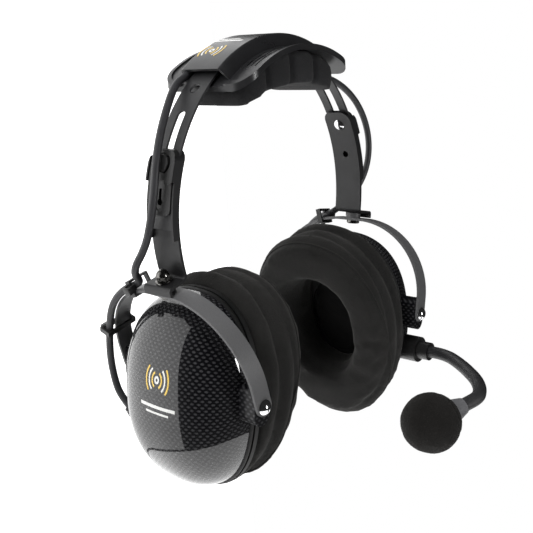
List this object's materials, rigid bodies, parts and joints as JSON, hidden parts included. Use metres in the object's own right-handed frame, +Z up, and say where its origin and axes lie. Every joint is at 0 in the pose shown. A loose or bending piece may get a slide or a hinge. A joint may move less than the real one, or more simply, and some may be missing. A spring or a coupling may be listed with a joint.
{
  "type": "aviation headset",
  "caption": "Noise-isolating headset with a padded sprung headband, height sliders, swivelling stirrups, tilting ear cups with cloth-covered seals and a turning microphone boom",
  "frame": {"origin": "middle of the head pad's underside, where the headset rests on the crown", "axes": "+X wearer's left, the microphone's side; -Y wearer's front; +Z up; -Z out of the pad towards the head"},
  "size_m": [0.2141, 0.1764, 0.2426],
  "materials": {
    "band_paint": "satin",
    "cover_plastic": "satin",
    "pad_foam": "matte",
    "cable_rubber": "satin",
    "hanger_paint": "satin",
    "trim_plastic": "satin",
    "chrome": "polished",
    "knob_plastic": "satin",
    "stirrup_paint": "satin",
    "dark_steel": "satin",
    "nut_chrome": "polished",
    "tie_plastic": "satin",
    "cup_gloss": "gloss",
    "plate_plastic": "matte",
    "seal_cloth": "matte",
    "ear_foam": "matte",
    "speaker_metal": "satin",
    "liner_foam": "matte",
    "inlet_rubber": "matte",
    "boom_sleeve": "matte",
    "holder_plastic": "satin",
    "windscreen_foam": "matte"
  },
  "bodies": {
    "headband": {"headband_spring": "band_paint", "pad_cover": "cover_plastic", "head_pad": "pad_foam", "overhead_cable": "cable_rubber", "left_cable_slack": "cable_rubber", "right_cable_slack": "cable_rubber"},
    "left_slider": {"left_hanger": "hanger_paint", "left_clamp_plate": "trim_plastic", "left_clamp_screw": "chrome", "left_clamp_knob": "knob_plastic"},
    "left_yoke": {"left_stirrup": "stirrup_paint", "left_swivel_bolt": "dark_steel", "left_swivel_nut": "nut_chrome", "left_upper_tie": "tie_plastic", "left_lower_tie": "tie_plastic", "left_cable_run": "cable_rubber", "left_cable_tail": "cable_rubber"},
    "left_cup": {"left_cup_shell": "cup_gloss", "left_seal_plate": "plate_plastic", "left_ear_seal": "seal_cloth", "left_ear_foam": "ear_foam", "left_speaker": "speaker_metal", "left_speaker_ring": "plate_plastic", "left_foam_liner": "liner_foam", "left_front_lug": "trim_plastic", "left_rear_lug": "trim_plastic", "left_front_screw": "chrome", "left_rear_screw": "chrome", "left_cable_inlet": "inlet_rubber", "left_boom_socket": "trim_plastic", "left_lead_gland": "inlet_rubber"},
    "right_slider": {"right_hanger": "hanger_paint", "right_clamp_plate": "trim_plastic", "right_clamp_screw": "chrome", "right_clamp_knob": "knob_plastic"},
    "right_yoke": {"right_stirrup": "stirrup_paint", "right_swivel_bolt": "dark_steel", "right_swivel_nut": "nut_chrome", "right_upper_tie": "tie_plastic", "right_lower_tie": "tie_plastic", "right_cable_run": "cable_rubber", "right_cable_tail": "cable_rubber"},
    "right_cup": {"right_cup_shell": "cup_gloss", "right_seal_plate": "plate_plastic", "right_ear_seal": "seal_cloth", "right_ear_foam": "ear_foam", "right_speaker": "speaker_metal", "right_speaker_ring": "plate_plastic", "right_foam_liner": "liner_foam", "right_front_lug": "trim_plastic", "right_rear_lug": "trim_plastic", "right_front_screw": "chrome", "right_rear_screw": "chrome", "right_cable_inlet": "inlet_rubber"},
    "boom": {"boom_collar": "trim_plastic", "boom_tube": "boom_sleeve", "mic_holder": "holder_plastic", "mic_capsule": "speaker_metal", "windscreen": "windscreen_foam"}
  },
  "joints": [
    {"name": "left_height", "type": "hinge", "parent": "headband", "child": "left_slider", "pos_m": [-0.01025, 0, -0.06967], "axis": [0, 1, 0], "range_deg": [-15, 9.4], "deforming": ["left_cable_slack"]},
    {"name": "left_swivel", "type": "hinge", "parent": "left_slider", "child": "left_yoke", "pos_m": [0.08424, 0, -0.09171], "axis": [0.2045, 0, 0.9789], "range_deg": [-12, 12], "deforming": ["left_cable_slack"]},
    {"name": "left_tilt", "type": "hinge", "parent": "left_yoke", "child": "left_cup", "pos_m": [0.07218, 0, -0.14941], "axis": [-0.0683, 0.9976, 0.0143], "range_deg": [-12, 12], "deforming": ["left_cable_tail"]},
    {"name": "right_height", "type": "hinge", "parent": "headband", "child": "right_slider", "pos_m": [0.01025, 0, -0.06967], "axis": [0, -1, 0], "range_deg": [-15, 9.4], "deforming": ["right_cable_slack"]},
    {"name": "right_swivel", "type": "hinge", "parent": "right_slider", "child": "right_yoke", "pos_m": [-0.08424, 0, -0.09171], "axis": [0.2045, 0, -0.9789], "range_deg": [-12, 12], "deforming": ["right_cable_slack"]},
    {"name": "right_tilt", "type": "hinge", "parent": "right_yoke", "child": "right_cup", "pos_m": [-0.07218, 0, -0.14941], "axis": [-0.0683, -0.9976, -0.0143], "range_deg": [-12, 12], "deforming": ["right_cable_tail"]},
    {"name": "boom_twist", "type": "hinge", "parent": "left_cup", "child": "boom", "pos_m": [0.08, -0.05, -0.1761], "axis": [0, 1, 0], "range_deg": [-60, 120]}
  ]
}
